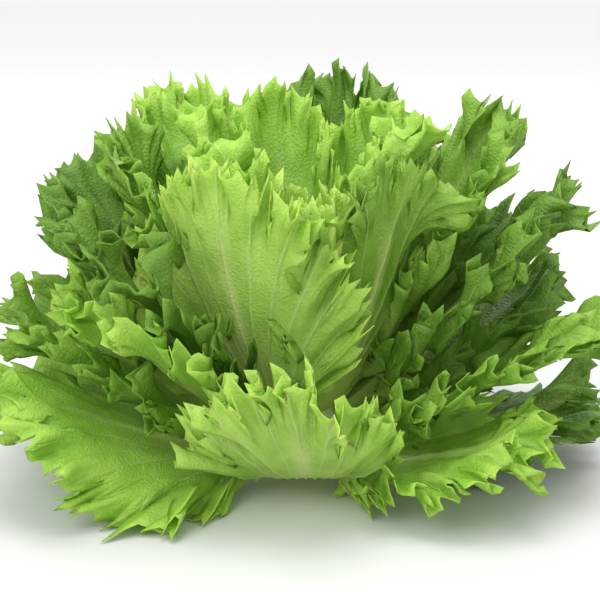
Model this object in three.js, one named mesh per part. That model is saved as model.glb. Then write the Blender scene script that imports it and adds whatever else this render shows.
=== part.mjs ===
// A loose head of frill lettuce, as cut: a short stem with its leaves in nested rings round it.
// Millimetres, +Z up. The origin is the centre of the stem's cut face, which rests on the table.
// Each leaf is a closed shell over a smooth sheet: a rib that climbs away from the stem, and veins
// that fan out from the rib's foot to a rounded outline.
import * as THREE from "three";

const degree = Math.PI / 180;

const stem = {
  cutRadius: 19, // the cut face that the head stands on
  bulgeRadius: 21,
  bulgeHeight: 5,
  neckHeight: 62, // where the stem ends inside the heart
  neckRadius: 4.5,
  sides: 28,
};

const blade = {
  footGap: 0.3, // between the stem and a leaf's foot
  footThickness: 2.6,
  marginThickness: 1.1,
  thinning: 0.45, // the share of the way to the outline over which the foot thins to the blade
  rows: 5,
  outlineTurn: 148 * degree, // how far round the outline runs on each side of the tip
  outlineCentre: 0.56, // the outline's middle, as a share of the rib
  fanPower: 1.35, // veins first run up beside the rib and then spread
  climbPower: 0.85,
  tableGap: 0.4, // the least height of any leaf over the table
};

// Where a leaf's foot meets the stem, the radius of the stem at a height.
function stemRadiusAt(height) {
  const share = (height - stem.bulgeHeight) / (stem.neckHeight - stem.bulgeHeight);
  return THREE.MathUtils.lerp(stem.bulgeRadius, stem.neckRadius, THREE.MathUtils.clamp(share, 0, 1));
}

// The leaves of each ring, from the table up to the heart. azimuth is counter-clockwise from +X.
// slopes are the rib's angles over the horizontal at its foot, middle and tip. foot is the height of
// the foot on the stem. cup bends the blade's sides round the stem: 1 follows the ring and less opens
// the leaf. arch lifts the sides on their own, tuck lays each leaf's side over the next leaf's, and
// frill is how far the folds of the margin stand off the sheet, to and fro at each second column.
const rings = [
  {
    name: "ground_leaf",
    length: 128,
    halfWidth: 52,
    footHalfWidth: 8.5,
    cup: 1,
    arch: -0.008,
    tuck: 0.2,
    frill: 4,
    columns: 16,
    colour: 0x6f9a3a,
    leaves: [
      { azimuth: -89, sway: -5, foot: 9, slopes: [-11, 41, 66], length: 116, halfWidth: 44, arch: 0.002, tuck: 0 },
      { azimuth: -39, foot: 7.5, slopes: [2, 20, 12], length: 118, halfWidth: 40, tuck: -0.17, arch: -0.006 },
      { azimuth: 7, foot: 7, slopes: [-4, 14, 0], length: 128, tuck: 0.1 },
      { azimuth: 54, foot: 8, slopes: [0, 18, -2] },
      { azimuth: 104, foot: 8, slopes: [0, 18, -2] },
      { azimuth: 154, foot: 8, slopes: [0, 18, -2], length: 132 },
      { azimuth: -156, foot: 8, slopes: [4, 26, 14], length: 138, arch: -0.02 },
    ],
  },
  {
    name: "low_leaf",
    length: 146,
    halfWidth: 56,
    footHalfWidth: 8.5,
    cup: 1,
    arch: 0.002,
    tuck: 0.12,
    frill: 3,
    columns: 16,
    colour: 0x5d8f33,
    leaves: [
      { azimuth: -18, foot: 15, slopes: [18, 30, 20], halfWidth: 46 },
      { azimuth: 33, foot: 15, slopes: [18, 30, 20] },
      { azimuth: 84, foot: 15, slopes: [18, 30, 20] },
      { azimuth: 134, foot: 14.8, slopes: [18, 30, 20] },
      { azimuth: 181, foot: 15.5, slopes: [20, 32, 20], length: 140 },
      { azimuth: -146, foot: 17.5, slopes: [27, 42, 36], length: 134, halfWidth: 42, tuck: 0.04 },
    ],
  },
  {
    name: "middle_leaf",
    length: 160,
    halfWidth: 56,
    footHalfWidth: 7,
    cup: 1,
    arch: 0,
    tuck: 0.12,
    frill: 4,
    columns: 16,
    colour: 0x578a30,
    leaves: [
      { azimuth: 10, foot: 22, slopes: [36, 46, 38] },
      { azimuth: 61, foot: 22, slopes: [36, 48, 42] },
      { azimuth: 112, foot: 22, slopes: [36, 50, 44] },
      { azimuth: 160, foot: 22, slopes: [37, 51, 45] },
      { azimuth: 207, foot: 23, slopes: [37, 50, 44], length: 146, halfWidth: 50 },
    ],
  },
  {
    name: "upright_leaf",
    length: 165,
    halfWidth: 52,
    footHalfWidth: 7,
    cup: 1,
    arch: 0,
    tuck: 0.14,
    frill: 3,
    columns: 16,
    colour: 0x86b84a,
    leaves: [
      { azimuth: -48, foot: 31, slopes: [54, 70, 74], length: 134, halfWidth: 44, tuck: -0.02 },
      { azimuth: 22, foot: 29.5, slopes: [48, 60, 57], tuck: 0.08 },
      { azimuth: 80, foot: 30, slopes: [50, 62, 60], length: 174 },
      { azimuth: 133, foot: 30.2, slopes: [50, 62, 60], length: 168 },
      { azimuth: -175, foot: 30.5, slopes: [54, 63, 61], length: 152, halfWidth: 45, tuck: 0.05 },
      { azimuth: -122, sway: 3, foot: 27, slopes: [42, 66, 72], length: 146, halfWidth: 50, tuck: -0.1 },
    ],
  },
  {
    name: "inner_leaf",
    length: 140,
    halfWidth: 32,
    footHalfWidth: 5.5,
    cup: 1,
    arch: 0,
    tuck: 0.16,
    frill: 2,
    columns: 12,
    colour: 0x9cc85a,
    leaves: [
      { azimuth: -86, foot: 39, slopes: [66, 74, 74], length: 92, halfWidth: 20 },
      { azimuth: -14, foot: 39, slopes: [66, 75, 74] },
      { azimuth: 46, foot: 39, slopes: [66, 75, 74] },
      { azimuth: 105.5, foot: 39, slopes: [66, 75, 74], length: 145 },
      { azimuth: 164, foot: 39, slopes: [66, 75, 76] },
      { azimuth: -144, foot: 39, slopes: [66, 76, 79], length: 128 },
    ],
  },
  {
    name: "heart_leaf",
    length: 90,
    halfWidth: 15,
    footHalfWidth: 4,
    cup: 1,
    arch: 0,
    tuck: 0.25,
    frill: 1,
    columns: 10,
    colour: 0xb4d672,
    leaves: [
      { azimuth: -99, foot: 48, slopes: [76, 86, 96], length: 86 },
      { azimuth: -28, sway: 6, foot: 48, slopes: [76, 86, 96] },
      { azimuth: 44, foot: 48, slopes: [76, 86, 96] },
      { azimuth: 116, foot: 48, slopes: [76, 86, 96] },
      { azimuth: 188, foot: 48, slopes: [76, 86, 96] },
    ],
  },
];

// The rib's angle over the horizontal at a share of its length, through its three slopes.
function slopeAt([foot, middle, tip], share) {
  const bend = 2 * foot + 2 * tip - 4 * middle;
  return (foot + (tip - foot - bend) * share + bend * share * share) * degree;
}

// The rib in the leaf's own upright plane: distance from the stem's axis, height and slope.
function ribOf(leaf, steps = 60) {
  const tilt = (blade.footThickness / 2 + blade.footGap) * Math.abs(Math.sin(leaf.slopes[0] * degree));
  const points = [{ out: stemRadiusAt(leaf.foot) + blade.footGap + tilt, up: leaf.foot }];
  const step = leaf.length / steps;
  for (let i = 0; i < steps; i++) {
    const slope = slopeAt(leaf.slopes, (i + 0.5) / steps);
    const last = points[i];
    points.push({ out: last.out + step * Math.cos(slope), up: last.up + step * Math.sin(slope) });
  }
  return (along) => {
    const place = THREE.MathUtils.clamp(along / step, -1, steps);
    const i = Math.min(Math.max(Math.floor(place), 0), steps - 1);
    const share = place - i;
    return {
      out: THREE.MathUtils.lerp(points[i].out, points[i + 1].out, share),
      up: THREE.MathUtils.lerp(points[i].up, points[i + 1].up, share),
      slope: slopeAt(leaf.slopes, THREE.MathUtils.clamp(along / leaf.length, 0, 1)),
    };
  };
}

// The sheet's point at a vein (side, -1 to 1) and a share of the way from the foot to the outline.
function sheetOf(leaf) {
  const rib = ribOf(leaf);
  const tipReach = (1 - blade.outlineCentre) * leaf.length;
  return (side, share) => {
    const turn = blade.outlineTurn * side;
    const edgeAcross = leaf.halfWidth * Math.sin(turn) ;
    const edgeAlong = blade.outlineCentre * leaf.length + tipReach * Math.cos(turn);
    const footAcross = leaf.footHalfWidth * side;
    const across = THREE.MathUtils.lerp(footAcross, edgeAcross, share ** blade.fanPower);
    const along = edgeAlong * share ** blade.climbPower;
    const { out, up, slope } = rib(along);
    const bend = (leaf.cup * Math.sin(slope)) / Math.max(out, 12) + leaf.arch * share + 1e-5;
    const sideways = Math.sin(bend * across) / bend;
    const inward = (1 - Math.cos(bend * across)) / bend - leaf.tuck * across;
    const azimuth = (leaf.azimuth + (leaf.sway ?? 0) * share * share) * degree;
    const radius = out - inward * Math.sin(slope);
    return new THREE.Vector3(
      radius * Math.cos(azimuth) - sideways * Math.sin(azimuth),
      radius * Math.sin(azimuth) + sideways * Math.cos(azimuth),
      up + inward * Math.cos(slope),
    );
  };
}

// A closed shell on both sides of the sheet, thick at the foot and thin at the outline.
function leafGeometry(leaf) {
  const sheet = sheetOf(leaf);
  const { columns } = leaf;
  const { rows } = blade;
  const small = 1e-3;
  const faces = [[], []];
  for (let row = 0; row <= rows; row++) {
    const share = row / rows;
    const thin = THREE.MathUtils.smoothstep(share, 0, blade.thinning);
    const half = THREE.MathUtils.lerp(blade.footThickness, blade.marginThickness, thin) / 2;
    for (let column = 0; column <= columns; column++) {
      const side = (2 * column) / columns - 1;
      const point = sheet(side, share);
      const ahead = sheet(side, share + small).sub(sheet(side, Math.max(share - small, 0)));
      const beside = sheet(side + small, share).sub(sheet(side - small, share));
      const normal = ahead.cross(beside).normalize();
      const fold = (column % 2 ? 1 : -1) * leaf.frill * THREE.MathUtils.smoothstep(share, 0.4, 1);
      point.addScaledVector(normal, fold);
      point.z = Math.max(point.z, blade.tableGap + half);
      faces[0].push(point.clone().addScaledVector(normal, half));
      faces[1].push(point.clone().addScaledVector(normal, -half));
    }
  }
  const outside = faces.flat();
  for (const point of outside) point.z = Math.max(point.z, blade.tableGap);
  const perFace = faces[0].length;
  const at = (row, column, face) => face * perFace + row * (columns + 1) + column;
  const triangles = [];
  const apart = (i, j) => outside[i].distanceTo(outside[j]);
  // A quad is split along its shorter diagonal.
  const quad = (a, b, c, d) => {
    if (apart(a, c) < apart(b, d)) triangles.push(a, b, c, a, c, d);
    else triangles.push(a, b, d, b, c, d);
  };
  for (let row = 0; row < rows; row++) {
    for (let column = 0; column < columns; column++) {
      const [a, b] = [at(row, column, 0), at(row, column + 1, 0)];
      const [c, d] = [at(row + 1, column + 1, 0), at(row + 1, column, 0)];
      quad(d, c, b, a);
      quad(a + perFace, b + perFace, c + perFace, d + perFace);
    }
  }
  const rim = [];
  for (let column = 0; column < columns; column++) rim.push(at(0, column, 0));
  for (let row = 0; row < rows; row++) rim.push(at(row, columns, 0));
  for (let column = columns; column > 0; column--) rim.push(at(rows, column, 0));
  for (let row = rows; row > 0; row--) rim.push(at(row, 0, 0));
  rim.forEach((a, i) => {
    const b = rim[(i + 1) % rim.length];
    quad(a, b, b + perFace, a + perFace);
  });
  const geometry = new THREE.BufferGeometry().setFromPoints(outside);
  geometry.setIndex(triangles);
  geometry.computeVertexNormals();
  return geometry;
}

// The stem: a flat cut face, a low bulge, and a taper that the leaves' feet climb.
function stemGeometry() {
  const profile = [
    [0, 0],
    [stem.cutRadius, 0],
    [stem.bulgeRadius, stem.bulgeHeight],
    [stem.neckRadius, stem.neckHeight],
    [0, stem.neckHeight + stem.neckRadius],
  ];
  const geometry = new THREE.LatheGeometry(
    profile.map(([radius, height]) => new THREE.Vector2(radius, height)),
    stem.sides,
  );
  return geometry.rotateX(90 * degree);
}

function leafMaterial(colour) {
  return new THREE.MeshStandardMaterial({ color: colour, roughness: 0.5, metalness: 0 });
}

const lettuce = new THREE.Group();

const core = new THREE.Mesh(
  stemGeometry(),
  new THREE.MeshStandardMaterial({ color: 0xd9cfae, roughness: 0.7, metalness: 0 }),
);
core.name = "stem";
lettuce.add(core);

for (const ring of rings) {
  const material = leafMaterial(ring.colour);
  ring.leaves.forEach((own, i) => {
    const leaf = { ...ring, ...own };
    const mesh = new THREE.Mesh(leafGeometry(leaf), material);
    mesh.name = ring.name + "_" + (i + 1);
    lettuce.add(mesh);
  });
}

export default lettuce;
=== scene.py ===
import math
import bpy
import bmesh
import numpy as np
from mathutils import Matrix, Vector


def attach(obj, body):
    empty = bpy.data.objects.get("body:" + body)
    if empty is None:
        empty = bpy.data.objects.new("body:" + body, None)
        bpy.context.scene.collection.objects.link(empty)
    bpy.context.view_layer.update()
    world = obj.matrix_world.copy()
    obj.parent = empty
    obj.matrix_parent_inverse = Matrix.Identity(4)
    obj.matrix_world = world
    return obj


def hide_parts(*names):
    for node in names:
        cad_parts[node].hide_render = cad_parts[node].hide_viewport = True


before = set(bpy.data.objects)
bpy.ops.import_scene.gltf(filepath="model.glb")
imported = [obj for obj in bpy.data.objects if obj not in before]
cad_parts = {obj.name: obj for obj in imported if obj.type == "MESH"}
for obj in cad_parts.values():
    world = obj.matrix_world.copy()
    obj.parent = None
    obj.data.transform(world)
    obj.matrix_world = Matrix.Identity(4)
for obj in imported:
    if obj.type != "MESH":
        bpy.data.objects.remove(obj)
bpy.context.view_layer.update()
mm = 0.001
toothProfile = (0, 0.3, 1.0, 0.34)  # how far each column of a tooth stands out, against its tip
toothSteps = len(toothProfile)

# the stem that every leaf climbs, in millimetres
stemShape = {
    "cutRadius": 19.0,
    "bulgeRadius": 21.0,
    "bulgeHeight": 5.0,
    "neckHeight": 62.0,
    "neckRadius": 4.5,
}

# what all the leaves share, in millimetres unless a note says otherwise
bladeShape = {
    "footGap": 0.3,
    "footThickness": 2.6,
    "outlineTurn": math.radians(148),  # how far round the outline runs beside the tip
    "outlineCentre": 0.56,             # share of the rib
    "fanPower": 1.35,                  # veins run up beside the rib and then spread
    "climbPower": 0.85,
    "marginDepth": 36.0,               # the frilled band along the outline
    "ribSwell": 4.6,                   # the rib's thickness at the foot
    "bladeSkin": 0.75,                 # the blade's thickness between the veins
    "marginSkin": 0.38,
    "tableGap": 0.3,
}


def smoothStep(x, low, high):
    x = np.clip((x - low) / (high - low), 0, 1)
    return x * x * (3 - 2 * x)


def stemRadiusAt(height):
    share = (height - stemShape["bulgeHeight"]) / (stemShape["neckHeight"] - stemShape["bulgeHeight"])
    share = min(max(share, 0), 1)
    return stemShape["bulgeRadius"] + (stemShape["neckRadius"] - stemShape["bulgeRadius"]) * share


# a smooth wandering value along a length: a few sines whose phases come from the leaf's seed
def wander(s, scale, rng):
    total = np.zeros_like(s)
    for k in range(4):
        total += np.sin(2 * np.pi * s / scale * (0.6 + 0.55 * k) + rng.uniform(0, 2 * np.pi)) / (1 + 0.5 * k)
    return total / 1.6


# the rib: distance from the stem's axis, height and slope along the leaf
def ribOf(leaf):
    foot, middle, tip = leaf["slopes"]
    length = leaf["length"]
    share = (np.arange(90) + 0.5) / 60
    bend = 2 * foot + 2 * tip - 4 * middle
    held = np.minimum(share, 1.0)
    slope = np.radians(foot + (tip - foot - bend) * held + bend * held * held)
    tilt = (bladeShape["footThickness"] / 2 + bladeShape["footGap"]) * abs(math.sin(math.radians(foot)))
    start = stemRadiusAt(leaf["foot"]) + bladeShape["footGap"] + tilt
    out = start + np.concatenate([[0], np.cumsum(np.cos(slope))]) * length / 60
    up = leaf["foot"] + np.concatenate([[0], np.cumsum(np.sin(slope))]) * length / 60
    at = np.arange(91) / 60 * length
    slopes = np.concatenate([[slope[0]], (slope[1:] + slope[:-1]) / 2, [slope[-1]]])
    return lambda along: (np.interp(along, at, out), np.interp(along, at, up), np.interp(along, at, slopes))


# the smooth sheet through a leaf, at a vein (side, -1 to 1) and a share of the way to the outline
def sheetOf(leaf):
    rib = ribOf(leaf)
    reach = (1 - bladeShape["outlineCentre"]) * leaf["length"]

    def sheet(side, share):
        turn = bladeShape["outlineTurn"] * side
        edgeAcross = leaf["halfWidth"] * np.sin(turn)
        edgeAlong = bladeShape["outlineCentre"] * leaf["length"] + reach * np.cos(turn)
        footAcross = leaf["footHalfWidth"] * side
        share = np.maximum(share, 0)
        across = footAcross + (edgeAcross - footAcross) * share ** bladeShape["fanPower"]
        along = edgeAlong * share ** bladeShape["climbPower"]
        out, up, slope = rib(along)
        bend = leaf["cup"] * np.sin(slope) / np.maximum(out, 12) + leaf["arch"] * share + 1e-5
        sideways = np.sin(bend * across) / bend
        inward = (1 - np.cos(bend * across)) / bend - leaf["tuck"] * across
        azimuth = np.radians(leaf["azimuth"] + leaf["sway"] * share * share)
        radius = out - inward * np.sin(slope)
        return np.stack([
            radius * np.cos(azimuth) - sideways * np.sin(azimuth),
            radius * np.sin(azimuth) + sideways * np.cos(azimuth),
            up + inward * np.cos(slope),
        ], -1)

    return sheet


def unit(vectors):
    return vectors / np.maximum(np.linalg.norm(vectors, axis=-1, keepdims=True), 1e-9)


# the meander of a frilled margin: a path whose heading swings to and fro, brought back to the line
def meander(s, waves, swing):
    heading = sum(w * swing[k] for k, w in enumerate(waves))
    step = s[1] - s[0]
    stretch = 1 / np.maximum(smoothAlong(np.cos(heading), 22 / step), 0.22)
    along = np.cumsum(np.cos(heading) * stretch) * step
    off = np.cumsum(np.sin(heading) * stretch) * step
    drift = along - s
    return drift - smoothAlong(drift, 30 / step), off - smoothAlong(off, 30 / step)


def smoothAlong(values, width):
    half = int(width * 1.5)
    kernel = np.exp(-0.5 * (np.arange(-half, half + 1) / (width * 0.6)) ** 2)
    kernel /= kernel.sum()
    padded = np.pad(values, half, mode="reflect")
    return np.convolve(padded, kernel, mode="valid")


# a flat sheet over (side, share): even squares inside, and toothSteps times as many columns along the margin
def flatSheet(columns, innerRows, marginRows):
    bm = bmesh.new()
    rows = innerRows + marginRows
    bmesh.ops.create_grid(bm, x_segments=columns, y_segments=rows, size=0.5)
    for v in bm.verts:
        row = round((v.co.y + 0.5) * rows)
        v.co.x += 0.5
        v.co.y = row
    fine = [e for e in bm.edges
            if abs(e.verts[0].co.y - e.verts[1].co.y) < 1e-4 and e.verts[0].co.y > innerRows - 0.5]
    bmesh.ops.subdivide_edges(bm, edges=fine, cuts=toothSteps - 1)
    return bm


def makeLeaf(name, leaf, material):
    rng = np.random.default_rng(leaf["seed"])
    columns, innerRows, marginRows = leaf["grid"]
    bm = flatSheet(columns, innerRows, marginRows)
    mesh = bpy.data.meshes.new(name)
    bm.to_mesh(mesh)
    bm.free()
    count = len(mesh.vertices)
    flat = np.zeros(count * 3)
    mesh.vertices.foreach_get("co", flat)
    flat = flat.reshape(-1, 3)
    u, row = flat[:, 0], flat[:, 1]

    sheet = sheetOf(leaf)
    # the outline's length, and which vein stands at each length
    sides = np.linspace(-1, 1, 1201)
    outline = sheet(sides, np.ones_like(sides))
    lengths = np.concatenate([[0], np.cumsum(np.linalg.norm(np.diff(outline, axis=0), axis=1))])
    total = lengths[-1]
    foot = sheet(sides, np.zeros_like(sides))
    veinLength = np.linalg.norm(outline - foot, axis=1)
    s = np.linspace(0, total, 1601)

    # lobes and teeth, in the flat
    fineColumns = columns * toothSteps
    index = np.round(u * fineColumns).astype(int)
    toothCount = columns + 1
    size = leaf["tooth"]
    tooth = size * (0.45 + 0.9 * rng.random(toothCount) ** 1.4)
    hook = rng.normal(0, 0.9, toothCount)
    lobeOf = np.zeros(toothCount, int)
    lobeAt = np.zeros(toothCount)
    t, lobe = 0, 0
    while t < toothCount:
        span = int(rng.integers(5, 8))
        ids = np.arange(t, min(t + span, toothCount))
        lobeOf[ids] = lobe
        lobeAt[ids] = (np.arange(len(ids)) + 0.5) / span * 2 - 1
        t += span
        lobe += 1
    lobeDepth = leaf["lobe"] * (0.55 + 0.75 * rng.random(lobe + 1))
    lobeCurl = rng.normal(0, 1, lobe + 1)
    fine = np.arange(fineColumns + 1)
    toothOf = np.minimum(fine // toothSteps, toothCount - 1)
    tip = np.array(toothProfile)[fine % toothSteps]
    lobePlace = np.interp(fine, (np.arange(toothCount) + 0.5) * toothSteps, lobeAt + 2 * lobeOf)
    inLobe = np.abs((lobePlace + 1) % 2 - 1)
    notch = inLobe ** 3.4
    reach = tooth[toothOf] * tip * (1.15 - 0.5 * notch) - lobeDepth[lobeOf[toothOf]] * notch
    endFade = smoothStep(np.minimum(fine, fineColumns - fine) / fineColumns, 0.0, 0.06)
    reach = reach * endFade
    spread = np.sin(np.pi * ((lobePlace + 1) % 2 - 1)) * 2.2 * endFade
    hookAt = hook[toothOf] * tip * endFade
    curl = lobeCurl[lobeOf[toothOf]] * (1 - notch) * endFade
    curl = smoothAlong(curl, 2.0)
    toothCurl = rng.normal(0, 1, toothCount)[toothOf] * tip * endFade

    # folds of the margin, from broad flutes to small ruffles
    spanOne, spanTwo = leaf["folds"]
    waves = [
        np.sin(2 * np.pi * s / spanOne + 1.1 * wander(s, 90, rng)) * (1 + 0.25 * wander(s, 70, rng)),
        np.sin(2 * np.pi * s / spanTwo + 1.3 * wander(s, 40, rng)) * (1 + 0.3 * wander(s, 50, rng)),
    ]
    broad = wander(s, 120, rng)

    # how far each vertex is from the outline
    innerShare = 1 - bladeShape["marginDepth"] / np.interp(u * total, lengths, veinLength)
    innerShare = np.maximum(innerShare, 0.34)
    inner = row <= innerRows
    share = np.where(
        inner,
        innerShare * (row / innerRows),
        innerShare + (1 - innerShare) * (row - innerRows) / marginRows,
    )
    depthHere = np.interp(u * total, lengths, veinLength)
    distance = (1 - share) * depthHere
    marginShare = np.clip((row - innerRows) / marginRows, 0, 1)
    push = marginShare ** 1.3
    share = share + reach[index] * push / depthHere
    alongMargin = u * total + (spread[index] + hookAt[index]) * marginShare ** 2

    drift, off = np.zeros(count), np.zeros(count)
    for value in np.unique(np.round(row, 4)):
        these = np.abs(row - value) < 1e-3
        d = float(np.mean(distance[these]))
        swing = [
            leaf["flute"] * float(smoothStep(-d, -52, 4)) ** 1.2,
            leaf["ruffle"] * float(smoothStep(-d, -30, 3)) ** 1.2,
        ]
        alongShift, lift = meander(s, waves, swing)
        lift = lift + broad * leaf["sag"] * float(smoothStep(-d, -60, 0))
        drift[these] = np.interp(alongMargin[these], s, alongShift)
        off[these] = np.interp(alongMargin[these], s, lift)
    fadeFoot = smoothStep(share, 0.12, 0.6)
    place = np.clip(alongMargin + drift * fadeFoot, 0.0, total)
    side = np.interp(place, lengths, sides)
    off = off * fadeFoot

    small = 0.004
    point = sheet(side, share)
    ahead = unit(sheet(side, share + small) - sheet(side, np.maximum(share - small, 0)))
    beside = unit(sheet(side + small, share) - sheet(side - small, share))
    normal = unit(np.cross(beside, ahead))

    # veins stand off the back of the blade, and the tissue between them is blistered
    veins = leaf["veins"]
    veinAt = np.abs((side * veins + 0.5) % 1 - 0.5) / veins * depthHere * 2
    veinMask = np.exp(-(veinAt / 1.6) ** 2) * smoothStep(share, 0.02, 0.2) * (1 - smoothStep(share, 0.75, 1.0))
    ribMask = np.exp(-(side * depthHere / (4.5 + 5 * (1 - share))) ** 2) * (1 - smoothStep(share, 0.3, 0.95))
    pucker = np.sin(side * veins * 2 * np.pi + 3 * np.sin(share * 9 + leaf["seed"])) * np.sin(share * 26 + 2 * side * veins)
    off = off + 0.5 * pucker * smoothStep(share, 0.15, 0.5) * (1 - marginShare * 0.6)
    off = off + 0.9 * veinMask

    curlOut = (curl[index] * leaf["curl"] + toothCurl[index] * 1.1) * marginShare ** 2
    point = point + normal * (off + curlOut)[:, None]
    point[:, 2] = np.maximum(point[:, 2], bladeShape["tableGap"] + 0.6)
    mesh.vertices.foreach_set("co", (point * mm).ravel())

    group = np.clip(
        bladeShape["marginSkin"] + (bladeShape["bladeSkin"] - bladeShape["marginSkin"]) * smoothStep(distance, 0, 25)
        + (bladeShape["ribSwell"] - bladeShape["bladeSkin"]) * ribMask * smoothStep(-share, -0.9, 0.05)
        + 0.5 * veinMask,
        0, bladeShape["ribSwell"]) / bladeShape["ribSwell"]
    values = {
        "edge": np.clip(distance / 40, 0, 1),
        "rib": np.clip(0.25 * veinMask + ribMask, 0, 1),
        "foot": 1 - smoothStep(share, 0.0, 0.55),
        # the outermost edge, where the rim colour adds a painted highlight and the veins fade out
        "rim": smoothStep(marginShare, 0.8, 1.0),
        "fan": side * veins,
        "span": share * depthHere / veins * 1.15,
        "along": share * depthHere,
    }
    for key, array in values.items():
        layer = mesh.attributes.new(key, "FLOAT", "POINT")
        layer.data.foreach_set("value", array.astype(np.float32))
    uv = mesh.uv_layers.new(name="leaf")
    corner = np.zeros(len(mesh.loops), int)
    mesh.loops.foreach_get("vertex_index", corner)
    placed = np.stack([side * depthHere / 60, share * depthHere / 60], -1)
    uv.data.foreach_set("uv", placed[corner].astype(np.float32).ravel())

    piece = bpy.data.objects.new(name, mesh)
    bpy.context.scene.collection.objects.link(piece)
    weights = piece.vertex_groups.new(name="skin")
    for level in np.unique(np.round(group, 2)):
        members = np.nonzero(np.round(group, 2) == level)[0]
        weights.add(members.tolist(), float(level), "REPLACE")
    skin = piece.modifiers.new("skin", "SOLIDIFY")
    skin.thickness = bladeShape["ribSwell"] * mm
    skin.offset = -1
    skin.vertex_group = "skin"
    skin.thickness_vertex_group = 0.0
    skin.use_even_offset = False
    mesh.polygons.foreach_set("use_smooth", np.ones(len(mesh.polygons), bool))
    mesh.materials.append(material)
    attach(piece, "root")
    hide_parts(name)
    return piece


# small helpers for building node trees
def join(tree, source, socket):
    if isinstance(source, (int, float)):
        socket.default_value = source
    elif isinstance(source, tuple):
        socket.default_value = (*source, 1)
    else:
        tree.links.new(source, socket)


def maths(tree, operation, *values):
    node = tree.nodes.new("ShaderNodeMath")
    node.operation = operation
    for value, socket in zip(values, node.inputs):
        join(tree, value, socket)
    return node.outputs[0]


def fade(tree, value, low, high):
    node = tree.nodes.new("ShaderNodeMapRange")
    node.interpolation_type = "SMOOTHSTEP"
    for source, key in ((value, "Value"), (low, "From Min"), (high, "From Max")):
        join(tree, source, node.inputs[key])
    return node.outputs[0]


def blend(tree, factor, first, second):
    node = tree.nodes.new("ShaderNodeMix")
    node.data_type = "RGBA"
    for source, key in ((factor, 0), (first, 6), (second, 7)):
        join(tree, source, node.inputs[key])
    return node.outputs[2]


patternInputs = [(key, "NodeSocketFloat") for key in ("Fan", "Span", "Along", "Edge", "Rib", "Foot", "Rim")]
patternInputs += [(key, "NodeSocketColor") for key in ("Deep", "Blade", "Margin", "Vein Tint", "Foot Tint", "Rim Tint And Highlight")]
patternInputs += [("Place", "NodeSocketVector")]


# the leaf's pattern: veins with side branches, blisters between them, and the tints from foot to rim, with a painted
# highlight along the rim
def leafPattern():
    tree = bpy.data.node_groups.new("leafPattern", "ShaderNodeTree")
    for key, kind in patternInputs:
        tree.interface.new_socket(key, in_out="INPUT", socket_type=kind)
    for key, kind in (("Colour", "NodeSocketColor"), ("Height", "NodeSocketFloat"), ("Gloss", "NodeSocketFloat")):
        tree.interface.new_socket(key, in_out="OUTPUT", socket_type=kind)
    given = tree.nodes.new("NodeGroupInput").outputs
    result = tree.nodes.new("NodeGroupOutput").inputs

    turned = maths(tree, "FRACT", maths(tree, "ADD", given["Fan"], 20.5))
    fromVein = maths(tree, "MULTIPLY", maths(tree, "ABSOLUTE", maths(tree, "SUBTRACT", turned, 0.5)), given["Span"])
    broad = maths(tree, "MULTIPLY_ADD", given["Foot"], 2.2, 0.75)
    mainVein = fade(tree, fromVein, broad, 0.0)
    climb = maths(tree, "MULTIPLY_ADD", fromVein, -0.9, given["Along"])
    beat = maths(tree, "FRACT", maths(tree, "MULTIPLY_ADD", climb, 0.15, 20.0))
    sideVein = fade(tree, maths(tree, "ABSOLUTE", maths(tree, "SUBTRACT", beat, 0.5)), 0.09, 0.0)
    lines = maths(tree, "MAXIMUM", mainVein, maths(tree, "MULTIPLY", sideVein, 0.45))
    lines = maths(tree, "MULTIPLY", lines, maths(tree, "SUBTRACT", 1.0, given["Rim"]))

    patches = tree.nodes.new("ShaderNodeTexNoise")
    patches.inputs["Scale"].default_value = 55
    patches.inputs["Detail"].default_value = 4
    tree.links.new(given["Place"], patches.inputs["Vector"])
    net = tree.nodes.new("ShaderNodeTexVoronoi")
    net.feature = "DISTANCE_TO_EDGE"
    net.inputs["Scale"].default_value = 480
    tree.links.new(given["Place"], net.inputs["Vector"])
    blister = fade(tree, net.outputs["Distance"], 0.0, 0.35)

    tone = fade(tree, patches.outputs["Fac"], 0.32, 0.68)
    inner = blend(tree, tone, given["Deep"], given["Blade"])
    outer = blend(tree, tone, given["Margin"], given["Rim Tint And Highlight"])
    colour = blend(tree, maths(tree, "POWER", given["Edge"], 0.7), outer, inner)
    colour = blend(tree, maths(tree, "MULTIPLY", lines, 0.62), colour, given["Vein Tint"])
    colour = blend(tree, given["Rib"], colour, given["Foot Tint"])
    colour = blend(tree, given["Foot"], colour, given["Foot Tint"])
    # painted highlight along the rim: the outermost edge is lightened towards the rim colour, partly the leaf's own
    # pale edge and partly light caught by the thin frills
    colour = blend(tree, maths(tree, "MULTIPLY", given["Rim"], 0.4), colour, given["Rim Tint And Highlight"])
    join(tree, colour, result["Colour"])
    join(tree, maths(tree, "MULTIPLY_ADD", lines, 1.2, blister), result["Height"])
    join(tree, maths(tree, "MULTIPLY_ADD", patches.outputs["Fac"], 0.25, 0.3), result["Gloss"])
    return tree


pattern = leafPattern()


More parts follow.
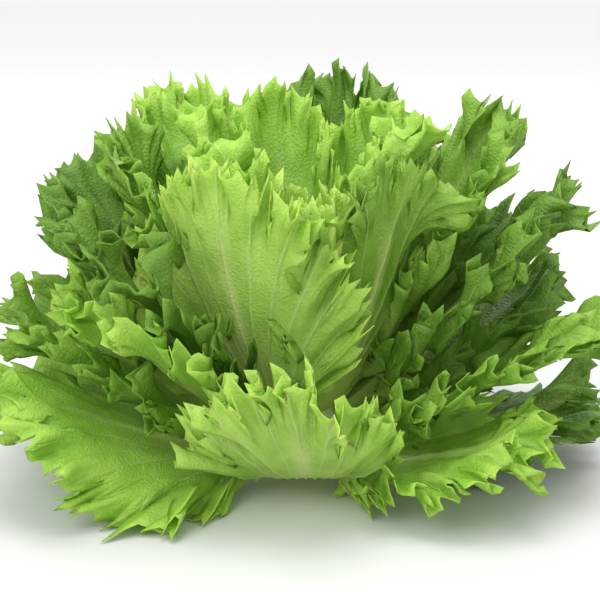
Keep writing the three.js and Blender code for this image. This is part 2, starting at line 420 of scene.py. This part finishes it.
def leafMaterial(name, colours, glow):
    material = bpy.data.materials.new(name)
    material.use_nodes = True
    tree = material.node_tree
    nodes = tree.nodes
    nodes.clear()
    group = nodes.new("ShaderNodeGroup")
    group.node_tree = pattern
    for key, attribute in (("Fan", "fan"), ("Span", "span"), ("Along", "along"), ("Edge", "edge"),
                           ("Rib", "rib"), ("Foot", "foot"), ("Rim", "rim")):
        node = nodes.new("ShaderNodeAttribute")
        node.attribute_name = attribute
        tree.links.new(node.outputs["Fac"], group.inputs[key])
    for key, tint in (("Deep", "deep"), ("Blade", "blade"), ("Margin", "margin"),
                      ("Vein Tint", "vein"), ("Foot Tint", "foot"), ("Rim Tint And Highlight", "rim")):
        group.inputs[key].default_value = (*colours[tint], 1)
    tree.links.new(nodes.new("ShaderNodeTexCoord").outputs["Object"], group.inputs["Place"])
    bump = nodes.new("ShaderNodeBump")
    bump.inputs["Strength"].default_value = 0.45
    bump.inputs["Distance"].default_value = 0.0006
    tree.links.new(group.outputs["Height"], bump.inputs["Height"])
    shader = nodes.new("ShaderNodeBsdfPrincipled")
    shader.inputs["Specular IOR Level"].default_value = 0.4
    thin = nodes.new("ShaderNodeBsdfTranslucent")
    mix = nodes.new("ShaderNodeMixShader")
    output = nodes.new("ShaderNodeOutputMaterial")
    mix.inputs[0].default_value = glow
    tree.links.new(group.outputs["Colour"], shader.inputs["Base Color"])
    tree.links.new(group.outputs["Gloss"], shader.inputs["Roughness"])
    tree.links.new(bump.outputs[0], shader.inputs["Normal"])
    tree.links.new(group.outputs["Colour"], thin.inputs["Color"])
    # painted light: the leaf colour is also given as a faint emission, so the leaves glow a little and their shade is
    # lifted as if by fill light
    tree.links.new(group.outputs["Colour"], shader.inputs["Emission Color"])
    shader.inputs["Emission Strength"].default_value = 0.05
    tree.links.new(shader.outputs[0], mix.inputs[1])
    tree.links.new(thin.outputs[0], mix.inputs[2])
    tree.links.new(mix.outputs[0], output.inputs[0])
    return material


def fromSrgb(r, g, b):
    return tuple(((c / 255 + 0.055) / 1.055) ** 2.4 if c > 10 else c / 255 / 12.92 for c in (r, g, b))


# each tone's rim colour lightens the outermost edge of the frills: partly the leaf's own pale edge, partly painted
# highlight
darkColours = {
    "deep": fromSrgb(84, 124, 32), "blade": fromSrgb(112, 153, 53), "margin": fromSrgb(92, 136, 36),
    "vein": fromSrgb(160, 193, 92), "foot": fromSrgb(190, 214, 116), "rim": fromSrgb(130, 173, 63),
}
middleColours = {
    "deep": fromSrgb(108, 153, 43), "blade": fromSrgb(138, 181, 67), "margin": fromSrgb(118, 167, 46),
    "vein": fromSrgb(184, 212, 113), "foot": fromSrgb(200, 220, 129), "rim": fromSrgb(160, 201, 79),
}
brightColours = {
    "deep": fromSrgb(146, 193, 67), "blade": fromSrgb(172, 212, 92), "margin": fromSrgb(156, 206, 65),
    "vein": fromSrgb(200, 226, 129), "foot": fromSrgb(208, 226, 141), "rim": fromSrgb(192, 228, 99),
}
paleColours = {
    "deep": fromSrgb(164, 204, 86), "blade": fromSrgb(188, 220, 110), "margin": fromSrgb(170, 214, 79),
    "vein": fromSrgb(212, 232, 144), "foot": fromSrgb(218, 232, 153), "rim": fromSrgb(202, 232, 110),
}
heartColours = {
    "deep": fromSrgb(190, 220, 106), "blade": fromSrgb(212, 234, 129), "margin": fromSrgb(196, 228, 99),
    "vein": fromSrgb(228, 240, 159), "foot": fromSrgb(230, 240, 168), "rim": fromSrgb(214, 238, 127),
}
materialsByTone = {
    "dark": leafMaterial("darkLeaf", darkColours, 0.3),
    "middle": leafMaterial("middleLeaf", middleColours, 0.32),
    "bright": leafMaterial("brightLeaf", brightColours, 0.35),
    "pale": leafMaterial("paleLeaf", paleColours, 0.35),
    "heart": leafMaterial("heartLeaf", heartColours, 0.35),
}

largeGrid = (128, 16, 9)
smallGrid = (96, 12, 8)
heartGrid = (64, 10, 7)
frilled = {"tooth": 7.5, "lobe": 21.0, "folds": (25.0, 8.5), "flute": 1.35, "ruffle": 1.6, "sag": 3.0,
           "curl": 3.0, "veins": 5, "grid": largeGrid, "tone": "dark", "cup": 1.0, "sway": 0, "arch": 0.0, "tuck": 0.12}

groundRing = {
    **frilled, "length": 128, "halfWidth": 52, "footHalfWidth": 8.5, "arch": -0.008, "tuck": 0.2, "foot": 8,
    "leaves": [
        {"azimuth": -89, "sway": -5, "foot": 9, "slopes": (-11, 41, 66), "length": 112, "halfWidth": 46,
         "arch": 0.002, "tuck": 0, "footHalfWidth": 14, "veins": 7, "tone": "pale"},
        {"azimuth": -39, "foot": 7.5, "slopes": (2, 20, 12), "length": 115, "halfWidth": 40, "tuck": -0.17,
         "arch": -0.006, "tone": "bright"},
        {"azimuth": 7, "foot": 7, "slopes": (-4, 14, 0), "tuck": 0.1},
        {"azimuth": 54, "slopes": (0, 18, -2)},
        {"azimuth": 104, "slopes": (0, 18, -2)},
        {"azimuth": 154, "slopes": (0, 18, -2), "length": 132, "tone": "middle"},
        {"azimuth": -156, "slopes": (4, 26, 14), "length": 138, "arch": -0.02, "tone": "bright"},
    ],
}
lowRing = {
    **frilled, "length": 146, "halfWidth": 56, "footHalfWidth": 8.5, "arch": 0.002, "foot": 15,
    "leaves": [
        {"azimuth": -18, "slopes": (18, 30, 20), "halfWidth": 46, "tone": "middle"},
        {"azimuth": 33, "slopes": (18, 30, 20)},
        {"azimuth": 84, "slopes": (18, 30, 20)},
        {"azimuth": 134, "foot": 14.8, "slopes": (18, 30, 20)},
        {"azimuth": 181, "foot": 15.5, "slopes": (20, 32, 20), "length": 140, "tone": "middle"},
        {"azimuth": -146, "foot": 17.5, "slopes": (27, 42, 36), "length": 134, "halfWidth": 42, "tuck": 0.04,
         "tone": "bright"},
    ],
}
middleRing = {
    **frilled, "length": 160, "halfWidth": 56, "footHalfWidth": 7, "foot": 22,
    "leaves": [
        {"azimuth": 10, "slopes": (36, 46, 38)},
        {"azimuth": 61, "slopes": (36, 48, 42)},
        {"azimuth": 112, "slopes": (36, 50, 44)},
        {"azimuth": 160, "slopes": (37, 51, 45)},
        {"azimuth": 207, "foot": 23, "slopes": (37, 50, 44), "length": 146, "halfWidth": 50},
    ],
}
uprightRing = {
    **frilled, "length": 165, "halfWidth": 52, "footHalfWidth": 7, "foot": 30, "tuck": 0.14, "tone": "bright",
    "leaves": [
        {"azimuth": -48, "foot": 31, "slopes": (54, 70, 74), "length": 134, "halfWidth": 44, "tuck": -0.02,
         "tone": "middle"},
        {"azimuth": 22, "foot": 29.5, "slopes": (48, 60, 57), "tuck": 0.08, "tone": "middle"},
        {"azimuth": 80, "slopes": (50, 62, 60), "length": 174, "tone": "dark"},
        {"azimuth": 133, "foot": 30.2, "slopes": (50, 62, 60), "length": 168},
        {"azimuth": -175, "foot": 30.5, "slopes": (54, 63, 61), "length": 152, "halfWidth": 45, "tuck": 0.05,
         "tone": "middle"},
        {"azimuth": -122, "sway": 3, "foot": 27, "slopes": (42, 66, 72), "length": 146, "halfWidth": 50,
         "tuck": -0.1, "footHalfWidth": 9, "veins": 7, "tone": "pale"},
    ],
}
innerRing = {
    **frilled, "length": 140, "halfWidth": 32, "footHalfWidth": 5.5, "foot": 39, "tuck": 0.16, "tone": "bright",
    "grid": smallGrid, "tooth": 5.0, "lobe": 10.0, "folds": (24.0, 9.0),
    "leaves": [
        {"azimuth": -86, "slopes": (66, 74, 74), "length": 92, "halfWidth": 20},
        {"azimuth": -14, "slopes": (66, 75, 74)},
        {"azimuth": 46, "slopes": (66, 75, 74)},
        {"azimuth": 105.5, "slopes": (66, 75, 74), "length": 145},
        {"azimuth": 164, "slopes": (66, 75, 76)},
        {"azimuth": -144, "slopes": (66, 76, 79), "length": 128},
    ],
}
heartRing = {
    **frilled, "length": 90, "halfWidth": 15, "footHalfWidth": 4, "foot": 48, "tuck": 0.25, "tone": "heart",
    "grid": heartGrid, "tooth": 2.5, "lobe": 3.5, "folds": (20.0, 8.0), "flute": 1.1, "ruffle": 0.9, "sag": 1.0,
    "curl": 1.5,
    "leaves": [
        {"azimuth": -99, "slopes": (76, 86, 96), "length": 86},
        {"azimuth": -28, "sway": 6, "slopes": (76, 86, 96)},
        {"azimuth": 44, "slopes": (76, 86, 96)},
        {"azimuth": 116, "slopes": (76, 86, 96)},
        {"azimuth": 188, "slopes": (76, 86, 96)},
    ],
}

rings = {"ground_leaf": groundRing, "low_leaf": lowRing, "middle_leaf": middleRing,
         "upright_leaf": uprightRing, "inner_leaf": innerRing, "heart_leaf": heartRing}
seed = 11
for ringName, ring in rings.items():
    for number, own in enumerate(ring["leaves"], 1):
        leaf = {**ring, **own, "seed": seed}
        seed += 7
        makeLeaf(ringName + "_" + str(number), leaf, materialsByTone[leaf["tone"]])
    print("made", ringName, len(ring["leaves"]))

stemMaterial = bpy.data.materials.new("stemFlesh")
stemMaterial.use_nodes = True
stemTree = stemMaterial.node_tree
stemShader = stemTree.nodes["Principled BSDF"]
stemShader.inputs["Roughness"].default_value = 0.6
stemPlace = stemTree.nodes.new("ShaderNodeTexCoord")
stemSplit = stemTree.nodes.new("ShaderNodeSeparateXYZ")
stemTree.links.new(stemPlace.outputs["Object"], stemSplit.inputs[0])
stemNoise = stemTree.nodes.new("ShaderNodeTexNoise")
stemNoise.inputs["Scale"].default_value = 220
stemTree.links.new(stemPlace.outputs["Object"], stemNoise.inputs["Vector"])
stemHeight = stemTree.nodes.new("ShaderNodeMath")
stemHeight.operation = "MULTIPLY_ADD"
stemTree.links.new(stemNoise.outputs["Fac"], stemHeight.inputs[0])
stemHeight.inputs[1].default_value = 0.003
stemTree.links.new(stemSplit.outputs["Z"], stemHeight.inputs[2])
stemRamp = stemTree.nodes.new("ShaderNodeValToRGB")
stemRamp.color_ramp.elements[0].position = 0.0015
stemRamp.color_ramp.elements[0].color = (*fromSrgb(186, 132, 112), 1)
stemRamp.color_ramp.elements[1].position = 0.006
stemRamp.color_ramp.elements[1].color = (*fromSrgb(222, 228, 184), 1)
stemTree.links.new(stemHeight.outputs[0], stemRamp.inputs[0])
stemTree.links.new(stemRamp.outputs[0], stemShader.inputs["Base Color"])
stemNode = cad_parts["stem"]
stemNode.data.materials.clear()
stemNode.data.materials.append(stemMaterial)

# floor, lights and camera
bm = bmesh.new()
bmesh.ops.create_grid(bm, x_segments=1, y_segments=1, size=4)
floorMesh = bpy.data.meshes.new("floor")
bm.to_mesh(floorMesh)
bm.free()
floor = bpy.data.objects.new("floor", floorMesh)
bpy.context.scene.collection.objects.link(floor)
floorMaterial = bpy.data.materials.new("paleFloor")
floorMaterial.use_nodes = True
floorTree = floorMaterial.node_tree
floorShader = floorTree.nodes["Principled BSDF"]
floorShader.inputs["Roughness"].default_value = 0.7
floorShader.inputs["Specular IOR Level"].default_value = 0.2
floorPlace = floorTree.nodes.new("ShaderNodeTexCoord")
floorReach = floorTree.nodes.new("ShaderNodeVectorMath")
floorReach.operation = "LENGTH"
floorTree.links.new(floorPlace.outputs["Object"], floorReach.inputs[0])
# painted shade near the head and painted light further out: the floor is one even pale colour, but here it is coloured
# darker grey round the head and near white further away to set how bright it renders
paling = fade(floorTree, floorReach.outputs["Value"], 0.2, 1.6)
floorTree.links.new(blend(floorTree, paling, (0.66, 0.67, 0.66), (0.97, 0.97, 0.97)), floorShader.inputs["Base Color"])
floorMesh.materials.append(floorMaterial)

bpy.context.scene.view_settings.view_transform = "Standard"
world = bpy.data.worlds.new("studio")
bpy.context.scene.world = world
world.use_nodes = True
world.node_tree.nodes["Background"].inputs["Color"].default_value = (1, 1, 1, 1)
world.node_tree.nodes["Background"].inputs["Strength"].default_value = 0.93


def areaLight(name, place, size, power, aim=(0, 0, 0.08)):
    data = bpy.data.lights.new(name, "AREA")
    data.size = size
    data.energy = power
    light = bpy.data.objects.new(name, data)
    bpy.context.scene.collection.objects.link(light)
    light.location = place
    light.rotation_mode = "QUATERNION"
    light.rotation_quaternion = (Vector(aim) - Vector(place)).to_track_quat("-Z", "Y")
    return light


areaLight("topLight", (0.1, -0.1, 1.3), 0.8, 10)
areaLight("keyLight", (-0.6, -1.0, 1.0), 0.7, 8)
areaLight("backLight", (0.3, 1.1, 0.9), 0.6, 4)

camera = bpy.data.cameras.new("camera")
camera.lens = 85
cameraObject = bpy.data.objects.new("camera", camera)
bpy.context.scene.collection.objects.link(cameraObject)
bpy.context.scene.camera = cameraObject
elevation = math.radians(15)
distance = 0.68
target = Vector((-0.002, 0, 0.083))
back = Vector((0, -math.cos(elevation), math.sin(elevation)))
cameraObject.location = target + back * distance
cameraObject.rotation_mode = "QUATERNION"
cameraObject.rotation_quaternion = (-back).to_track_quat("-Z", "Y")
